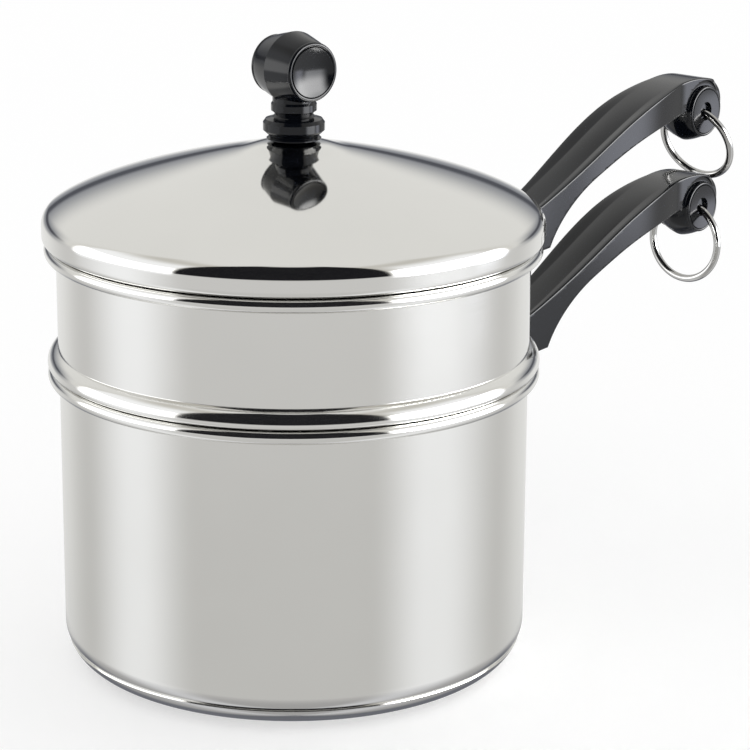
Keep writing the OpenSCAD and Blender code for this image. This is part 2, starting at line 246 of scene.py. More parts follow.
def between(tree, amount, low, high):
    """A colour between two, by a number from -0.5 to 0.5."""
    node = tree.nodes.new("ShaderNodeMix")
    node.data_type = "RGBA"
    tree.links.new(maths(tree, "ADD", amount, 0.5), node.inputs["Factor"])
    node.inputs[6].default_value = (*low, 1)
    node.inputs[7].default_value = (*high, 1)
    return node.outputs[2]


def bump(tree, shader, height, depth):
    """A bump of the shader's normal, its height from -0.5 to 0.5 and its depth in metres."""
    node = tree.nodes.new("ShaderNodeBump")
    node.inputs["Distance"].default_value = depth
    tree.links.new(height, node.inputs["Height"])
    tree.links.new(node.outputs[0], shader.inputs["Normal"])


turned_grain = turned_grain_group()
STEEL_COLOURS = ((0.755, 0.75, 0.728), (0.80, 0.795, 0.773))
LINES_IN_GLOSS = 0.06
DRIFT_IN_GLOSS = 0.05
LINE_DEPTH = 0.0012


def polished_steel(name, gloss, depth, pitch=GRAIN_PITCH):
    """Stainless sheet polished on a lathe, by its roughness and the strength and pitch of its lines."""
    material, tree, shader = principled(name, Metallic=1.0)
    grain = placed(tree, turned_grain, Pitch=pitch * MM, Depth=depth)
    tree.links.new(between(tree, grain["Drift"], *STEEL_COLOURS), shader.inputs["Base Color"])
    lines = maths(tree, "MULTIPLY", grain["Lines"], LINES_IN_GLOSS)
    drift = maths(tree, "MULTIPLY", grain["Drift"], DRIFT_IN_GLOSS)
    shift = maths(tree, "ADD", lines, drift)
    tree.links.new(maths(tree, "ADD", shift, gloss), shader.inputs["Roughness"])
    bump(tree, shader, grain["Lines"], LINE_DEPTH * MM)
    return material


def rim_curl(r, top_z, curl_r, t, end=-160):
    """Outer face of a rolled rim, outwards and down from the top of a wall of outer radius r."""
    return arc(r + curl_r - t, top_z - curl_r, curl_r - t, 180, end, 40)


pan_corner_x = PAN_R - PAN_CORNER_R
pan_path = ([(0, pan_low.z)] + arc(pan_corner_x, pan_low.z + PAN_CORNER_R, PAN_CORNER_R, -90, 0, 24)
            + rim_curl(PAN_R, pan_high.z, PAN_CURL_R, PAN_T))
wall_steel = polished_steel("wall_steel", 0.09, 1.0)
pan = to_piece("saucepan_shell", turned_bmesh(sheet_section(pan_path, PAN_T)))
stand_for(pan, "saucepan_body", "saucepan", wall_steel)

# Heat spreader
# A disc of aluminium between the pan and its base cap, bonded to both. None of it shows on the finished
# pan, so the model's own solid stays, in bare aluminium.

MOTTLE_IN_GLOSS = 0.12
MOTTLE_DEPTH = 0.004


def bare_metal(name, low, high, gloss, scale=900.0):
    """A small metal part with a fine mottled finish, its colour between low and high."""
    material, tree, shader = principled(name, Metallic=1.0)
    mottle = noise(tree, tree.nodes.new("ShaderNodeTexCoord").outputs["Object"], scale, 4.0)
    tree.links.new(between(tree, mottle, low, high), shader.inputs["Base Color"])
    tree.links.new(maths(tree, "MULTIPLY_ADD", mottle, MOTTLE_IN_GLOSS, gloss), shader.inputs["Roughness"])
    bump(tree, shader, mottle, MOTTLE_DEPTH * MM)
    return material


def dress(node, material):
    """A node of the model keeps its shape and gets this material."""
    piece = nodes[node]
    piece.data.materials.clear()
    piece.data.materials.append(material)


aluminium = bare_metal("aluminium", (0.74, 0.74, 0.74), (0.84, 0.84, 0.85), 0.34)
dress("heat_spreader", aluminium)

# Base cap
# A shallow stainless cup pressed over the heat spreader and brazed to the pan's corner. Its upper edge
# leaves a fine dark groove round the foot of the pan.

cap_high = box_mm("base_cap")[1]
CAP_T = 0.8
CAP_ARC_R = 11.35
CAP_ARC_START = -76
CAP_ARC_X = PAN_R - 11.7
CAP_ARC_Z = 12.3
FOOT_R = PAN_R - 12.2
cap_end = -degrees(asin((CAP_ARC_Z - cap_high.z) / CAP_ARC_R))
cap_path = [(0, 0), (FOOT_R, 0)] + arc(CAP_ARC_X, CAP_ARC_Z, CAP_ARC_R, CAP_ARC_START, cap_end, 20)
base_steel = polished_steel("base_steel", 0.14, 1.6, 0.4)
cap = to_piece("base_cap_shell", turned_bmesh(sheet_section(cap_path, CAP_T)))
stand_for(cap, "base_cap", "saucepan", base_steel)

# Insert body
# The upper pan, drawn from one sheet: its lower part drops into the saucepan, a folded shoulder sits on
# the saucepan's rim, and its own rim is rolled like the saucepan's.

insert_low, insert_high = box_mm("insert_body")
INSERT_T = 0.7
INSERT_CURL_R = 2.375
INSERT_R = PAN_R + 0.3
SEAT_GAP = 0.35
SHOULDER_R = INSERT_R + 3.6
INSERT_LOW_R = PAN_R - PAN_T - 1.6
INSERT_CORNER_R = 9
insert_corner_x = INSERT_LOW_R - INSERT_CORNER_R
insert_corner_z = insert_low.z + INSERT_CORNER_R
FOLD_R = 1.4
BULGE_R = 5
FILLET_R = 0.2
shoulder_z = pan_high.z + SEAT_GAP
bulge_x = SHOULDER_R - BULGE_R
bulge_z = shoulder_z + FOLD_R
fillet_x = INSERT_R + FILLET_R
fillet_z = bulge_z + sqrt((BULGE_R + FILLET_R) ** 2 - (fillet_x - bulge_x) ** 2)
bulge_end = degrees(atan2(fillet_z - bulge_z, fillet_x - bulge_x))
insert_path = ([(0, insert_low.z)]
               + arc(insert_corner_x, insert_corner_z, INSERT_CORNER_R, -90, 0, 24)
               + arc(INSERT_LOW_R + FOLD_R, shoulder_z - FOLD_R, FOLD_R, 180, 90, 10)
               + arc(SHOULDER_R - FOLD_R, shoulder_z + FOLD_R, FOLD_R, -90, 0, 12)
               + arc(bulge_x, bulge_z, BULGE_R, 0, bulge_end, 20)[1:]
               + arc(fillet_x, fillet_z, FILLET_R, 180 + bulge_end, 180, 8)[1:]
               + rim_curl(INSERT_R, insert_high.z, INSERT_CURL_R, INSERT_T))
insert = to_piece("insert_shell", turned_bmesh(sheet_section(insert_path, INSERT_T)))
stand_for(insert, "insert_body", "insert", wall_steel)

# Handle brackets and their nuts
# A pressed steel saddle is spot welded to each pan, and its boxed tongue reaches into the handle's root.
# A nut held in the tongue takes the screw. Both are hidden by the handle on the finished pan.

bracket_steel = bare_metal("bracket_steel", (0.50, 0.50, 0.49), (0.60, 0.60, 0.59), 0.28)
zinc = bare_metal("zinc_plating", (0.60, 0.62, 0.66), (0.70, 0.72, 0.75), 0.24, 1500.0)
for pan_name in ("saucepan", "insert"):
    dress(pan_name + "_bracket", bracket_steel)
    dress(pan_name + "_weld_nut", zinc)

# Handles
# One grip moulded in black phenolic serves both pans, widest under the palm and with a shallow trough
# along its back. Its eye is a barrel in a round recess, and its root takes the bracket's tongue.

swings = [joint for joint in frame["joints"] if joint["type"] == "hinge"]
eyes = {joint["child"]: Vector(joint["pos_m"]) / MM for joint in swings}
EYE_X = eyes["insert_ring"].x
EYE_RISE = 32.2
EYE_BELT_R = 12.4
EYE_FACE_R = 10.0
EYE_LEN = 16.0
EYE_HOLE_R = 3.7
EYE_RIM = 1.4
EYE_DISH = 0.25
EYE_TIP_R = EYE_BELT_R + 0.6
TIP_TOP_A = 75
TIP_SWEEP = 85
TIP_DROP = 1.3
ROOT_R = INSERT_R + 1.35
ROOT_TOP = 4.6
ROOT_UNDER = -10.0
RECESS_R = 13.0
RECESS_FILLET = 0.35
RECESS_AT = (EYE_X - 1.8, EYE_RISE - 0.7)
WEB_HALF = 6.4
ARRIS = 0.6
CREASE_AT = 5.2
CREASE_PROP = 0.3
FLANK_CUTS = 64
TROUGH = 1.45
CROWN = 0.5
PALM = (EYE_X - 48, 10.7)
ROOT_END = (INSERT_R + 31.7, 7.3)
EYE_END = (EYE_X - 17, EYE_LEN / 2)
TIP_START = (EYE_X + 3, EYE_LEN / 2)
TIP_END = (EYE_X + 9, WEB_HALF)


def beside(p, dx, dz):
    """The point that lies dx and dz from p."""
    return (p[0] + dx, p[1] + dz)


def straight(p, q, n):
    """Points from p to q in n equal steps."""
    return [(p[0] + (q[0] - p[0]) * i / n, p[1] + (q[1] - p[1]) * i / n) for i in range(n + 1)]


def smooth(a, b, x):
    """Rises softly from 0 at a to 1 at b."""
    t = min(max((x - a) / (b - a), 0), 1)
    return t * t * (3 - 2 * t)


HALF_PLAN = ([(0, ROOT_END[1]), ROOT_END]
             + curve(ROOT_END, beside(ROOT_END, 25, 0), beside(PALM, -33, 0), PALM, 40)
             + curve(PALM, beside(PALM, 13, 0), beside(EYE_END, -9, 1.4), EYE_END, 24)
             + [TIP_START]
             + curve(TIP_START, beside(TIP_START, 3, 0), beside(TIP_END, -3, 0), TIP_END, 10)
             + [(EYE_X + 40, WEB_HALF)])


def handle_side():
    """The handle's side view, from its root's axis: the back, then the tip and the underside."""

    def round_eye(r, a):
        """The point at distance r and angle a from the eye's centre."""
        return (EYE_X + r * cos(radians(a)), EYE_RISE + r * sin(radians(a)))

    root_top = (ROOT_R, ROOT_TOP)
    neck = (INSERT_R + 52.4, 13.7)
    back_mid = (EYE_X - 29.4, EYE_RISE + 10.9)
    top_end = round_eye(EYE_TIP_R, TIP_TOP_A)
    belly = (INSERT_R + 78.1, 17.6)
    belly_end = (EYE_X - 8.6, EYE_RISE + 2)
    heel = (INSERT_R + 52, -5.6)
    back = ([root_top]
            + curve(root_top, (INSERT_R + 22, ROOT_TOP), beside(neck, -20.4, -9), neck, 26)
            + curve(neck, beside(neck, 27.7, 12.2), beside(back_mid, -28.4, -6.8), back_mid, 36)
            + curve(back_mid, beside(back_mid, 13, 3.1), beside(top_end, -10.4, 2.6), top_end, 24))
    under = (straight((ROOT_R, ROOT_UNDER), heel, 14)
             + curve(heel, beside(heel, 3, 6.3), beside(belly, -15, -6.6), belly, 24)
             + curve(belly, beside(belly, 24, 10.6), beside(belly_end, -30, -4.2), belly_end, 36))
    swept = [TIP_SWEEP * i / 18 for i in range(1, 19)]
    tip = [round_eye(EYE_TIP_R - TIP_DROP * smooth(40, TIP_SWEEP, a), TIP_TOP_A - a) for a in swept]
    inside_barrel = [round_eye(9, a) for a in (-20, -60, -100, -140)]
    return back, tip + inside_barrel + under[::-1]


def inset(loop, d):
    """A closed loop that runs clockwise, moved inwards by d."""
    out = []
    n = len(loop)
    for i, p in enumerate(loop):
        a = (Vector(p) - Vector(loop[i - 1])).normalized()
        b = (Vector(loop[(i + 1) % n]) - Vector(p)).normalized()
        na, nb = Vector((a.y, -a.x)), Vector((b.y, -b.x))
        m = (na + nb).normalized()
        q = Vector(p) + m * (d / max(m.dot(na), 0.5))
        out.append((q.x, q.y))
    return out


def half_width(x):
    """Half the handle's width at a distance x from the pan's axis."""
    for (x0, y0), (x1, y1) in zip(HALF_PLAN, HALF_PLAN[1:]):
        if x <= x1:
            return y0 + (y1 - y0) * (x - x0) / (x1 - x0)
    return WEB_HALF


def crease(x):
    """Distance of the back's two creases from the middle."""
    return CREASE_AT + 0.5 * smooth(150, 190, x) - 0.3 * smooth(200, 212, x)


def trough(x, y):
    """Depth of the back under its edges at x along the handle and y across it, with a low crown between
    its two creases."""
    share = smooth(96, 122, x) * (0.35 + 0.65 * smooth(132, 168, x)) * (1 - smooth(172, 206, x))
    edge = half_width(x) - ARRIS
    crown = CROWN * max(1 - (y / crease(x)) ** 2, 0)
    return share * (TROUGH * min(max((edge - abs(y)) / (edge - crease(x)), 0), 1) - crown)


def handle_bmesh():
    """The moulded grip without its eye, with its root's axis at height 0."""
    back, rest = handle_side()
    loop = back + rest
    bm = bmesh.new()
    flank_mark = bm.faces.layers.int.new("flank")

    def ring(across, depth=0.0):
        """The outline at a distance across(x) from the middle plane, its edge drawn in by depth."""
        out = []
        for i, (p, (x, z)) in enumerate(zip(loop, inset(loop, depth))):
            y = across(p[0])
            if i < len(back):
                z -= trough(p[0], y)
            if i in (0, len(loop) - 1):
                x = sqrt(ROOT_R ** 2 - y ** 2)
            out.append(bm.verts.new((x * MM, y * MM, z * MM)))
        return out

    def skin(a, b):
        """Faces between two rings."""
        for i in range(len(a)):
            j = (i + 1) % len(a)
            bm.faces.new((a[i], a[j], b[j], b[i]))

    turn = [sin(radians(t)) for t in (0, 22.5, 45, 67.5, 90)]
    for side in (-1, 1):
        rings = [ring(lambda x, k=k, d=d: side * (k * crease(x) + d))
                 for k, d in ((0, 0), (0.5, 0), (1, -CREASE_PROP), (1, 0), (1, CREASE_PROP))]
        rings.append(ring(lambda x: side * (crease(x) + CREASE_PROP + half_width(x) - ARRIS) / 2))
        for t in turn:
            rings.append(ring(lambda x: side * (half_width(x) - ARRIS * (1 - t)),
                              ARRIS * (1 - sqrt(1 - t * t))))
        for a, b in zip(rings, rings[1:]):
            skin(a, b)
        flank = rings[-1]
        for corners in tessellate_polygon([[Vector((v.co.x, v.co.z, 0)) for v in flank]]):
            bm.faces.new([flank[k] for k in corners])[flank_mark] = 1
    reach = TIP_END[0] + 2 - ROOT_R
    for k in range(1, FLANK_CUTS):
        cut_x = (ROOT_R + reach * k / FLANK_CUTS) * MM
        faces = [face for face in bm.faces if face[flank_mark]]
        edges = list(dict.fromkeys(edge for face in faces for edge in face.edges))
        verts = list(dict.fromkeys(vert for face in faces for vert in face.verts))
        bmesh.ops.bisect_plane(bm, geom=faces + edges + verts, dist=1e-7,
                               plane_co=(cut_x, 0, 0), plane_no=(1, 0, 0))
    for vert in {vert for face in bm.faces if face[flank_mark] for vert in face.verts}:
        vert.co.y = copysign(half_width(vert.co.x / MM) * MM, vert.co.y)
    bm.faces.layers.int.remove(flank_mark)
    bmesh.ops.remove_doubles(bm, verts=bm.verts, dist=0.0005 * MM)
    bmesh.ops.recalc_face_normals(bm, faces=bm.faces)
    return bm


def barrel_section(belt_r, face_r, length, rim, dish, hole_r=0.0, ridge=0.3):
    """Closed section of a barrel about Z: tapering flanks, raised rims and dished faces. The belt where
    the flanks meet is round for a small ridge, and sharp for a large one."""
    half = length / 2
    inner = face_r - rim
    radii = [hole_r + (inner - hole_r) * i / 10 for i in range(11)]
    face = [(r, half - dish * (1 - (r / inner) ** 2)) for r in radii]
    edge = arc(face_r - rim / 2, half - rim / 2, rim / 2, 160, -35, 16)
    flank = curve(edge[-1], (face_r + 0.2 * (belt_r - face_r), half * 0.74),
                  (belt_r - ridge, half * 0.3), (belt_r, 0), 12)
    top = face + edge + flank
    return top + [(r, -z) for r, z in top[-2::-1]]


def solid_object(bm):
    """A scratch object from a bmesh, for joining and cutting."""
    mesh = bpy.data.meshes.new("scratch")
    bm.to_mesh(mesh)
    bm.free()
    piece = bpy.data.objects.new("scratch", mesh)
    bpy.context.scene.collection.objects.link(piece)
    return piece


def worked(base, *jobs):
    """The bmesh of a solid after jobs that join others to it or cut them from it. A job is a pair of an
    operation and a bmesh."""
    body = solid_object(base)
    tools = [solid_object(bm) for _, bm in jobs]
    for (operation, _), tool in zip(jobs, tools):
        step = body.modifiers.new("work", "BOOLEAN")
        step.operation = operation
        step.solver = "EXACT"
        step.object = tool
    done = bpy.data.meshes.new_from_object(body.evaluated_get(bpy.context.evaluated_depsgraph_get()))
    bm = bmesh.new()
    bm.from_mesh(done)
    for piece in [body] + tools:
        bpy.data.meshes.remove(piece.data)
    bpy.data.meshes.remove(done)
    return bm


def box_bmesh(low, high):
    """A box between two corners in millimetres."""
    bm = bmesh.new()
    bmesh.ops.create_cube(bm, size=1.0)
    middle = [(a + b) / 2 * MM for a, b in zip(low, high)]
    for v in bm.verts:
        v.co = Vector([m + c * (b - a) * MM for m, c, a, b in zip(middle, v.co, low, high)])
    return bm


def cylinder_section(r, z0, z1):
    """Closed section of a cylinder about Z."""
    return [(0, z0), (r, z0), (r, z1), (0, z1)]


COUNTERBORE_R = 4.8
SEAT_LEVEL = -4.5
SCREW_X = INSERT_R + 20
LIP_ROUND = 0.45
POCKET = ((ROOT_R - 4, -5.6, -3.0), (INSERT_R + 29, 5.6, 3.0))
SCREW_HOLE_R = 2.2
BELOW = -20
OUTSIDE = 12


def placed_turning(section, place, steps=96):
    """A body of revolution moved to its place."""
    bm = turned_bmesh(section, steps)
    bm.transform(place)
    return bm


def handle_piece(name, eye_at):
    """The whole grip, with its eye, pocket and screw holes, under its eye's centre."""
    root_z = eye_at.z - EYE_RISE
    eye_place = Matrix.Translation((EYE_X * MM, 0, EYE_RISE * MM)) @ Matrix.Rotation(radians(90), 4, "X")
    screw_place = Matrix.Translation((SCREW_X * MM, 0, 0))
    recess_place = Matrix.Translation((RECESS_AT[0] * MM, 0, RECESS_AT[1] * MM))
    recess = ([(0, WEB_HALF)]
              + arc(RECESS_R - RECESS_FILLET, WEB_HALF + RECESS_FILLET, RECESS_FILLET, -90, 0, 4)
              + arc(RECESS_R + LIP_ROUND, EYE_LEN / 2 - LIP_ROUND, LIP_ROUND, 180, 90, 5)
              + [(RECESS_R + LIP_ROUND, OUTSIDE), (0, OUTSIDE)])
    sides = [recess_place @ Matrix.Rotation(radians(a), 4, "X") for a in (-90, 90)]
    barrel = barrel_section(EYE_BELT_R, EYE_FACE_R, EYE_LEN, EYE_RIM, EYE_DISH, EYE_HOLE_R)
    screw_hole = cylinder_section(SCREW_HOLE_R, BELOW, 0)
    counterbore = cylinder_section(COUNTERBORE_R, BELOW, SEAT_LEVEL)
    bm = worked(handle_bmesh(),
                *[("DIFFERENCE", placed_turning(recess, side, 160)) for side in sides],
                ("UNION", placed_turning(barrel, eye_place)),
                ("DIFFERENCE", box_bmesh(*POCKET)),
                ("DIFFERENCE", placed_turning(screw_hole, screw_place, 32)),
                ("DIFFERENCE", placed_turning(counterbore, screw_place, 48)))
    bm.transform(Matrix.Translation((0, 0, root_z * MM)))
    return to_piece(name, bm, 28)


PHENOLIC_COLOURS = ((0.0015, 0.002, 0.003), (0.004, 0.005, 0.008))
PHENOLIC_GLOSS = 0.12
PEEL_SCALE = 260.0
PEEL_DEPTH = 0.002
CLOUD_SCALE = 40.0


def phenolic_material():
    """Black phenolic, polished in the mould, with a faint orange peel and a slow drift of its gloss."""
    material, tree, shader = principled("black_phenolic", IOR=1.4)
    place = tree.nodes.new("ShaderNodeTexCoord").outputs["Object"]
    peel = noise(tree, place, PEEL_SCALE)
    cloud = noise(tree, place, CLOUD_SCALE)
    tree.links.new(between(tree, cloud, *PHENOLIC_COLOURS), shader.inputs["Base Color"])
    tree.links.new(maths(tree, "MULTIPLY_ADD", cloud, 0.04, PHENOLIC_GLOSS), shader.inputs["Roughness"])
    bump(tree, shader, peel, PEEL_DEPTH * MM)
    return material


phenolic = phenolic_material()
for pan_name in ("saucepan", "insert"):
    grip = handle_piece(pan_name + "_grip", eyes[pan_name + "_ring"])
    stand_for(grip, pan_name + "_handle", pan_name, phenolic)

# Handle screws and washers
# A domed, cross-recessed screw of zinc-plated steel goes up into each handle's root from below, over a
# plain washer, and draws the grip on to the bracket.

for pan_name in ("saucepan", "insert"):
    dress(pan_name + "_handle_screw", zinc)
    dress(pan_name + "_screw_washer", zinc)

# Hanging rings
# A closed ring of bright steel wire hangs loose in each eye. The insert's ring leans on the saucepan's
# handle below it.

WIRE_R = 1.45
WIRE_COLOURS = ((0.42, 0.415, 0.405), (0.54, 0.535, 0.52))
WIRE_GLOSS = 0.08
MARK_SCALE = 420.0
MARK_DEPTH = 0.003


def ring_bmesh(radius, wire_r, place, steps=144, wire_steps=28):
    """A ring of round wire about Z, moved to its place. The radius is that of the wire's middle."""
    bm = bmesh.new()
    loops = []
    for k in range(steps):
        a = 2 * pi * k / steps
        loop = []
        for j in range(wire_steps):
            b = 2 * pi * j / wire_steps
            r = (radius + wire_r * cos(b)) * MM
            loop.append(bm.verts.new((r * cos(a), r * sin(a), wire_r * MM * sin(b))))
        loops.append(loop)
    for k in range(steps):
        a, b = loops[k], loops[(k + 1) % steps]
        for j in range(wire_steps):
            m = (j + 1) % wire_steps
            bm.faces.new((a[j], b[j], b[m], a[m]))
    bmesh.ops.recalc_face_normals(bm, faces=bm.faces)
    bm.transform(place)
    return bm


def ring_material():
    """Bright drawn wire with faint die lines and handling marks."""
    material, tree, shader = principled("ring_steel", Metallic=1.0)
    place = tree.nodes.new("ShaderNodeTexCoord").outputs["Object"]
    marks = noise(tree, place, MARK_SCALE, 3.0)
    tree.links.new(between(tree, marks, *WIRE_COLOURS), shader.inputs["Base Color"])
    tree.links.new(maths(tree, "MULTIPLY_ADD", marks, 0.06, WIRE_GLOSS), shader.inputs["Roughness"])
    bump(tree, shader, marks, MARK_DEPTH * MM)
    return material


ring_steel = ring_material()
for pan_name in ("saucepan", "insert"):
    node = pan_name + "_hanging_ring"
    low, high = box_mm(node)
    centre = (low + high) / 2
    hang = eyes[pan_name + "_ring"] - centre
    lean = atan2(-hang.x, hang.z)
    place = Matrix.Translation(centre * MM) @ Matrix.Rotation(radians(90) - lean, 4, "Y")
    ring = to_piece(pan_name + "_wire_ring", ring_bmesh((high.y - low.y) / 2 - WIRE_R, WIRE_R, place))
    stand_for(ring, node, pan_name + "_ring", ring_steel)

# Lid shell
# A domed lid drawn from stainless sheet and mirror polished. Its edge rolls down over a large radius and
# curls under, and rests on the insert's rim. It has one hole, for the knob's screw.

lid_low, lid_high = box_mm("lid_shell")
LID_T = 0.7
LID_R = lid_high.x
LID_CURL_R = 2.3
LID_ROLL_R = 6
LID_ROLL_A = 56
LID_SKIRT = 5.7
HUMP_R = 20
HUMP_DROP = 2.7
HUMP_SLOPE = Vector((1, -0.21))
HUMP_PULL = 0.42
ROLL_PULL = 0.16
SEAT_R = 8.6
SCREW_CLEAR_R = 2.2
seat_edge = Vector((SEAT_R, lid_high.z))
hump = Vector((HUMP_R, lid_high.z - HUMP_DROP))
roll_x = LID_R - LID_ROLL_R
roll_z = lid_low.z + LID_SKIRT
roll_out = Vector((cos(radians(LID_ROLL_A)), sin(radians(LID_ROLL_A))))
roll_top = Vector((roll_x, roll_z)) + LID_ROLL_R * roll_out
roll_slope = Vector((1, -roll_out.x / roll_out.y))
dome_run = roll_top.x - HUMP_R
lid_path = ([(SCREW_CLEAR_R, lid_high.z), tuple(seat_edge)]
            + curve(seat_edge, seat_edge + Vector((3.4, -0.1)), hump - 4.9 * HUMP_SLOPE, hump, 24)
            + curve(hump, hump + HUMP_PULL * dome_run * HUMP_SLOPE,
                    roll_top - ROLL_PULL * dome_run * roll_slope, roll_top, 60)
            + arc(roll_x, roll_z, LID_ROLL_R, LID_ROLL_A, 0, 24)[1:]
            + arc(LID_R - LID_CURL_R, lid_low.z + LID_CURL_R, LID_CURL_R, 0, -190, 36))
lid_steel = polished_steel("lid_steel", 0.06, 0.7)
lid = to_piece("lid_dome", turned_bmesh(sheet_section(lid_path, -LID_T)))
stand_for(lid, "lid_shell", "lid", lid_steel)

# Knob
# A knob moulded in the same black phenolic: a stem with a flared foot, a collar and a neck, and a short
# barrel of two cones across its top, whose round ends are dished.

knob_low, knob_high = box_mm("lid_knob")
KNOB_BELT_R = 12.3
KNOB_FACE_R = 10
KNOB_LEN = 21.8
KNOB_RIM = 1.7
KNOB_DISH = 1.5
KNOB_RIDGE = 0.75
LID_TURN = -11
knob_axis_h = knob_high.z - KNOB_BELT_R - knob_low.z
stem_top = knob_axis_h - 6
STEM_FOOT = [(0, 0), (6.7, 0), (9.2, 1.0), (9.2, 1.25), (8.2, 2.0), (8.7, 2.4)]
STEM_COLLAR = [(10.4, 4.0), (10.4, 6.6), (9.6, 7.7), (7.2, 8.4), (6.5, 9.2)]
STEM_NECK = [(6.7, 9.9), (7.7, 10.6), (7.7, 12.8), (7.2, 13.6), (7.2, stem_top), (0, stem_top)]
BUSH_POCKET = [(0, -1), (3.65, -1), (3.65, 11.2), (0, 11.2)]
barrel_place = (Matrix.Translation((0, 0, knob_axis_h * MM)) @ Matrix.Rotation(radians(LID_TURN), 4, "Z")
                @ Matrix.Rotation(radians(90), 4, "X"))
knob_barrel = barrel_section(KNOB_BELT_R, KNOB_FACE_R, KNOB_LEN, KNOB_RIM, KNOB_DISH, ridge=KNOB_RIDGE)
bm = worked(placed_turning(STEM_FOOT + STEM_COLLAR + STEM_NECK, Matrix.Identity(4), 144),
            ("UNION", placed_turning(knob_barrel, barrel_place, 144)),
            ("DIFFERENCE", placed_turning(BUSH_POCKET, Matrix.Identity(4), 48)))
bm.transform(Matrix.Translation((0, 0, knob_low.z * MM)))
knob = to_piece("turned_knob", bm, 20)
stand_for(knob, "lid_knob", "lid", phenolic)

# Thread insert
# A plain brass bush moulded into the knob's stem, threaded for the knob's screw.

brass = bare_metal("brass", (0.70, 0.52, 0.24), (0.78, 0.62, 0.32), 0.26)
dress("knob_thread_insert", brass)

# Knob screw and washer
# A zinc-plated screw goes up through the lid from below, over a washer, into the knob's brass bush.

for node in ("knob_screw", "knob_screw_washer"):
    dress(node, zinc)

# Studio
# A pale floor in a white studio. Polished metal sees two tall softboxes beside the camera, a dark room
# between them, and the floor and backdrop, so all of these are drawn in the world by direction.

CAMERA_AT = Vector((-0.6853, -0.6337, 0.3712))
CAMERA_HEADING = radians(-48.94)
CAMERA_TILT = radians(73.745)
CAMERA_ROLL = 0.0068
CAMERA_LENS = 135.94
camera_data = bpy.data.cameras.new("camera")
camera_data.lens = CAMERA_LENS
camera_data.sensor_width = 36
camera = bpy.data.objects.new("camera", camera_data)
aim = Matrix.Rotation(CAMERA_HEADING, 4, "Z") @ Matrix.Rotation(CAMERA_TILT, 4, "X")
camera.matrix_world = Matrix.Translation(CAMERA_AT) @ aim @ Matrix.Rotation(CAMERA_ROLL, 4, "Z")
bpy.context.scene.collection.objects.link(camera)
bpy.context.scene.camera = camera
bpy.context.scene.view_settings.view_transform = "Standard"


def fade(tree, value, low, high):
    """Rises softly from 0 at low to 1 at high, and falls where high is the smaller."""
    node = tree.nodes.new("ShaderNodeMapRange")
    node.interpolation_type = "SMOOTHSTEP"
    first, second = (low, high) if low < high else (high, low)
    tree.links.new(value, node.inputs["Value"])
    node.inputs["From Min"].default_value = first
    node.inputs["From Max"].default_value = second
    node.inputs["To Min"].default_value = 0.0 if low < high else 1.0
    node.inputs["To Max"].default_value = 1.0 if low < high else 0.0
    return node.outputs[0]


def window(tree, value, low, rise, fall, high):
    """1 between rise and fall, fading to 0 at low and at high."""
    return maths(tree, "MULTIPLY", fade(tree, value, low, rise), fade(tree, value, high, fall))


def blend(tree, amount, a, b):
    """A colour from a to b, by an amount from 0 to 1. Both may be colours or output sockets."""
    node = tree.nodes.new("ShaderNodeMix")
    node.data_type = "RGBA"
    tree.links.new(amount, node.inputs["Factor"])
    for socket, value in ((node.inputs[6], a), (node.inputs[7], b)):
        if isinstance(value, tuple):
            socket.default_value = (*value, 1)
        else:
            tree.links.new(value, socket)
    return node.outputs[2]


FLOOR_AHEAD = (0.707, 0.703, 0.695)
FLOOR_ASIDE = (1.105, 1.115, 1.135)
FLOOR_BEHIND = (0.88, 0.88, 0.87)
FLOOR_NEAR_BEHIND = (0.27, 0.28, 0.315)
BACKDROP_ASIDE = (0.665, 0.648, 0.604)
BACKDROP = (0.862, 0.858, 0.836)
DUSK = (0.30, 0.31, 0.335)
SKIRTING = (0.09, 0.094, 0.11)
HALO = (1.12, 1.13, 1.15)
SIDE_GLOW = (3.5, 3.6, 4.0)
LEFT_BOX = (3.0, 3.0, 3.0)
RIGHT_BOX = (14.0, 14.0, 14.0)
RIGHT_FOOT = (6.0, 6.1, 6.3)
ROOM = (0.012, 0.012, 0.014)
SOFT_FILL = (0.9, 0.9, 0.9)
WHITE = (1.0, 1.0, 1.0)
world = bpy.data.worlds.new("studio")
world.use_nodes = True
bpy.context.scene.world = world
sky = world.node_tree
sky.nodes.clear()
direction = sky.nodes.new("ShaderNodeTexCoord").outputs["Generated"]
to_front = Vector((sin(CAMERA_HEADING), -cos(CAMERA_HEADING), 0))
to_right = Vector((cos(CAMERA_HEADING), sin(CAMERA_HEADING), 0))


def along(axis):
    """How far the direction points along an axis."""
    node = sky.nodes.new("ShaderNodeVectorMath")
    node.operation = "DOT_PRODUCT"
    sky.links.new(direction, node.inputs[0])
    node.inputs[1].default_value = axis
    return node.outputs["Value"]


def both(a, b):
    """Where two zones of the studio overlap."""
    return maths(sky, "MULTIPLY", a, b)


def either(a, b):
    """Two zones that don't overlap, as one."""
    return maths(sky, "ADD", a, b)


# All in degrees: the bearing is 0 at the photo's camera and grows to its right, leftward is the same to
# its left, aside counts both ways, and the height is that above the horizon.
bearing = maths(sky, "DEGREES", maths(sky, "ARCTAN2", along(to_right), along(to_front)))
height = maths(sky, "DEGREES", maths(sky, "ARCSINE", along((0, 0, 1))))
leftward = maths(sky, "MULTIPLY", bearing, -1.0)
aside = maths(sky, "ABSOLUTE", bearing)

# The floor, lit from both sides and shaded behind the object
floor_glow = either(window(sky, bearing, 38, 70, 78, 122), window(sky, leftward, 46, 80, 84, 120))
behind = fade(sky, aside, 120, 150)
floor_light = blend(sky, floor_glow, FLOOR_AHEAD, FLOOR_ASIDE)
floor_light = blend(sky, behind, floor_light, FLOOR_BEHIND)
floor_light = blend(sky, both(behind, fade(sky, height, -18, -34)), floor_light, FLOOR_NEAR_BEHIND)

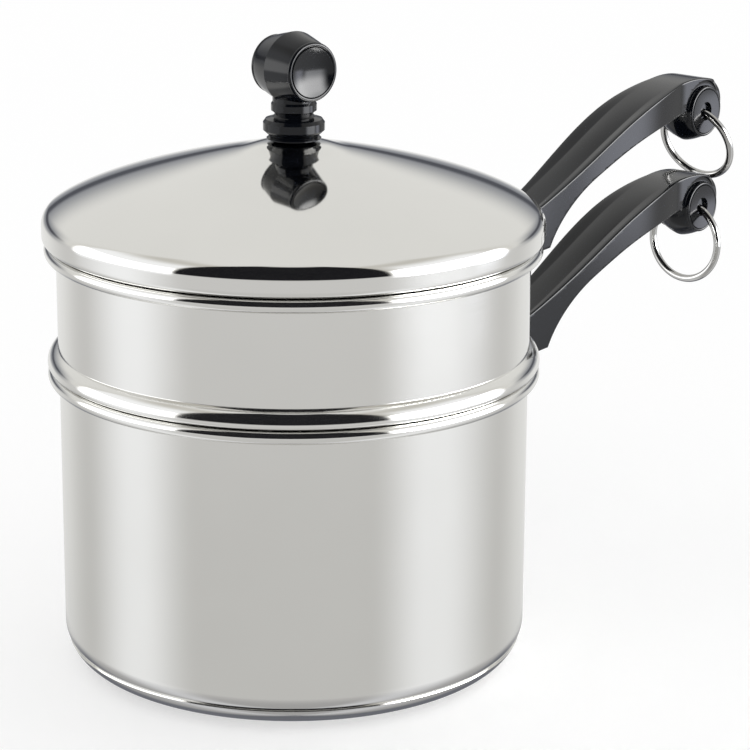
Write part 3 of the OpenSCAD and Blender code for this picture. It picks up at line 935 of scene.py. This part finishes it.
# The backdrop and the ceiling, with a darker band low on the far wall
backdrop = blend(sky, fade(sky, aside, 100, 125), BACKDROP_ASIDE, BACKDROP)
backdrop = blend(sky, fade(sky, height, 58, 70), backdrop, BACKDROP)
far_wall = fade(sky, aside, 118, 140)
light = blend(sky, fade(sky, height, -1, 6), floor_light, backdrop)
light = blend(sky, both(far_wall, window(sky, height, -8, 1, 7, 24)), light, DUSK)
light = blend(sky, both(far_wall, window(sky, height, 1, 4, 6, 9.5)), light, SKIRTING)

# The softboxes and the glow round them
right_box = window(sky, bearing, 44, 60, 96, 114)
left_box = window(sky, leftward, 52, 56, 108, 116)
right_end = window(sky, bearing, 88, 96, 100, 114)
right_foot = both(window(sky, bearing, 44, 58, 80, 92), window(sky, height, -12.6, -11.4, 20, 30))
halo = both(either(right_box, left_box), window(sky, height, -14.5, -12, 34, 56))
light = blend(sky, halo, light, HALO)
light = blend(sky, both(right_end, window(sky, height, -13.95, -12.9, 16, 27)), light, SIDE_GLOW)
light = blend(sky, right_foot, light, RIGHT_FOOT)
light = blend(sky, both(right_box, window(sky, height, -9, 4, 14, 27)), light, RIGHT_BOX)
light = blend(sky, both(left_box, window(sky, height, -9, -3, 16, 27)), light, LEFT_BOX)

# The dark room behind the camera
room = both(window(sky, bearing, -54, -51, 43, 46), window(sky, height, -6, -1, 76, 84))
light = blend(sky, room, light, ROOM)


def background(colour):
    """A background of one colour, or of an output socket's."""
    node = sky.nodes.new("ShaderNodeBackground")
    if isinstance(colour, tuple):
        node.inputs["Color"].default_value = (*colour, 1)
    else:
        sky.links.new(colour, node.inputs["Color"])
    return node.outputs[0]


def choose(tree, amount, a, b):
    """Shader a or b, by a light path's flag."""
    node = tree.nodes.new("ShaderNodeMixShader")
    tree.links.new(amount, node.inputs["Fac"])
    tree.links.new(a, node.inputs[1])
    tree.links.new(b, node.inputs[2])
    return node.outputs[0]


rays = sky.nodes.new("ShaderNodeLightPath").outputs
shown = choose(sky, rays["Is Glossy Ray"], background(SOFT_FILL), background(light))
shown = choose(sky, maths(sky, "MAXIMUM", rays["Is Camera Ray"], rays["Is Transmission Ray"]), shown,
               background(WHITE))
sky.links.new(shown, sky.nodes.new("ShaderNodeOutputWorld").inputs["Surface"])

FLOOR_HALF = 6.0
PAPER = (0.55, 0.55, 0.55, 1)
PAPER_GLOW = 0.5
# Tints of the floor as metal sees it: painted shadow of the pan near it and at its foot, plain pale floor
# far off.
MIRRORED_NEAR_PAINTED_SHADE = (0.90, 0.90, 0.895)
MIRRORED_FAR = (0.99, 0.99, 0.99)
PAINTED_FOOT_SHADOW = (0.62, 0.62, 0.63)
floor_bm = bmesh.new()
bmesh.ops.create_grid(floor_bm, x_segments=1, y_segments=1, size=FLOOR_HALF)
floor = to_piece("floor", floor_bm)
floor_material = bpy.data.materials.new("floor_white")
floor_material.use_nodes = True
tree = floor_material.node_tree
tree.nodes.clear()
paper = tree.nodes.new("ShaderNodeBsdfDiffuse")
paper.inputs["Color"].default_value = PAPER
glow = tree.nodes.new("ShaderNodeEmission")
glow.inputs["Strength"].default_value = PAPER_GLOW
lit = tree.nodes.new("ShaderNodeAddShader")
tree.links.new(paper.outputs[0], lit.inputs[0])
tree.links.new(glow.outputs[0], lit.inputs[1])
clear = tree.nodes.new("ShaderNodeBsdfTransparent")
place = tree.nodes.new("ShaderNodeTexCoord").outputs["Object"]
reach = tree.nodes.new("ShaderNodeVectorMath")
reach.operation = "LENGTH"
tree.links.new(place, reach.inputs[0])
distance = reach.outputs["Value"]
# In reflections the floor lets the world through, with a painted shadow of the pan: it grows darker towards
# the object's axis and darkest round its foot.
shade = blend(tree, fade(tree, distance, 0.08, 0.65), MIRRORED_NEAR_PAINTED_SHADE, MIRRORED_FAR)
shade = blend(tree, fade(tree, distance, 0.10, 0.082), shade, PAINTED_FOOT_SHADOW)
tree.links.new(shade, clear.inputs["Color"])
rays = tree.nodes.new("ShaderNodeLightPath").outputs
surface = choose(tree, rays["Is Glossy Ray"], lit.outputs[0], clear.outputs[0])
tree.links.new(surface, tree.nodes.new("ShaderNodeOutputMaterial").inputs["Surface"])
floor.data.materials.append(floor_material)
